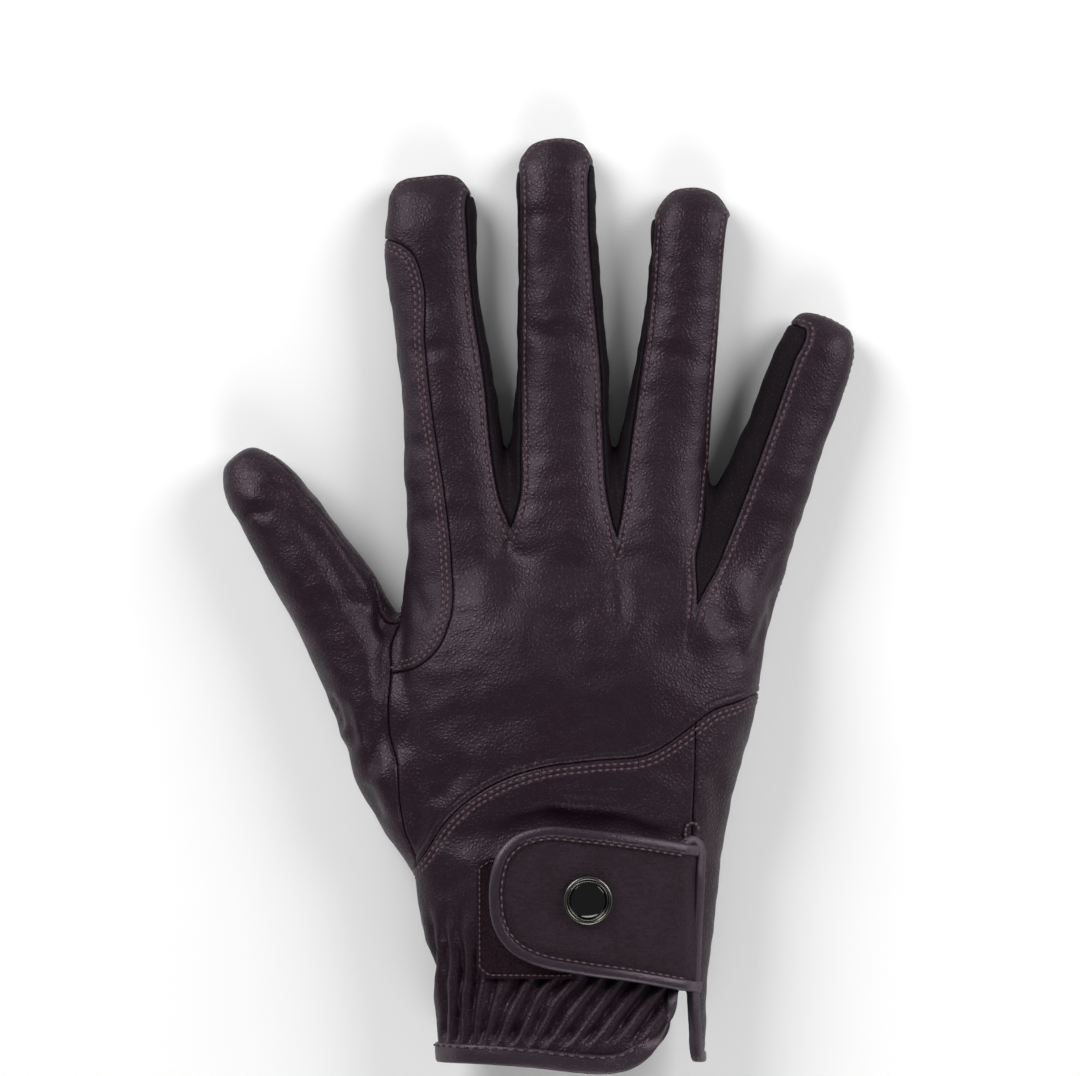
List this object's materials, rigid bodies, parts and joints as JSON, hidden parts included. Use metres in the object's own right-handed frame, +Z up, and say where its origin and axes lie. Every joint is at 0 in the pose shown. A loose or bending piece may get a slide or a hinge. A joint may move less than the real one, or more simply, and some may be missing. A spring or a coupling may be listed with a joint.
{
  "type": "horse riding glove",
  "caption": "Leather riding glove for the right hand with a gathered wrist, a rounded closing strap and a reinforced index finger, lying palm down.",
  "frame": {"origin": "on the surface the glove lies on, under the middle of its box", "axes": "+X towards the little finger's side, +Y towards the fingertips, +Z up out of the back of the hand"},
  "size_m": [0.1622, 0.2396, 0.039],
  "materials": {
    "grain_leather": "fine pebbled grain, satin",
    "palm_leather": "fine pebbled grain, satin",
    "side_leather": "matte pebbled grain",
    "fourchette_leather": "fine grain, matte",
    "binding_leather": "smooth satin",
    "strap_suede": "matte, suede-like",
    "piping_leather": "smooth satin",
    "fastening": "hook and loop, matte",
    "badge_metal": "gunmetal, polished",
    "badge_gloss": "glossy black enamel"
  },
  "bodies": {
    "root": {"back_panel": "grain_leather", "palm_panel": "palm_leather", "index_side_panel": "side_leather", "thumb_front": "palm_leather", "thumb_back": "grain_leather", "fourchette_index_middle": "fourchette_leather", "fourchette_middle_ring": "fourchette_leather", "fourchette_ring_little": "fourchette_leather", "cuff_yoke": "grain_leather", "cuff_binding": "binding_leather", "strap": "strap_suede", "strap_binding": "piping_leather", "loop_patch": "fastening", "hook_patch": "fastening", "badge_ring": "badge_metal", "badge_dome": "badge_gloss"}
  },
  "joints": []
}
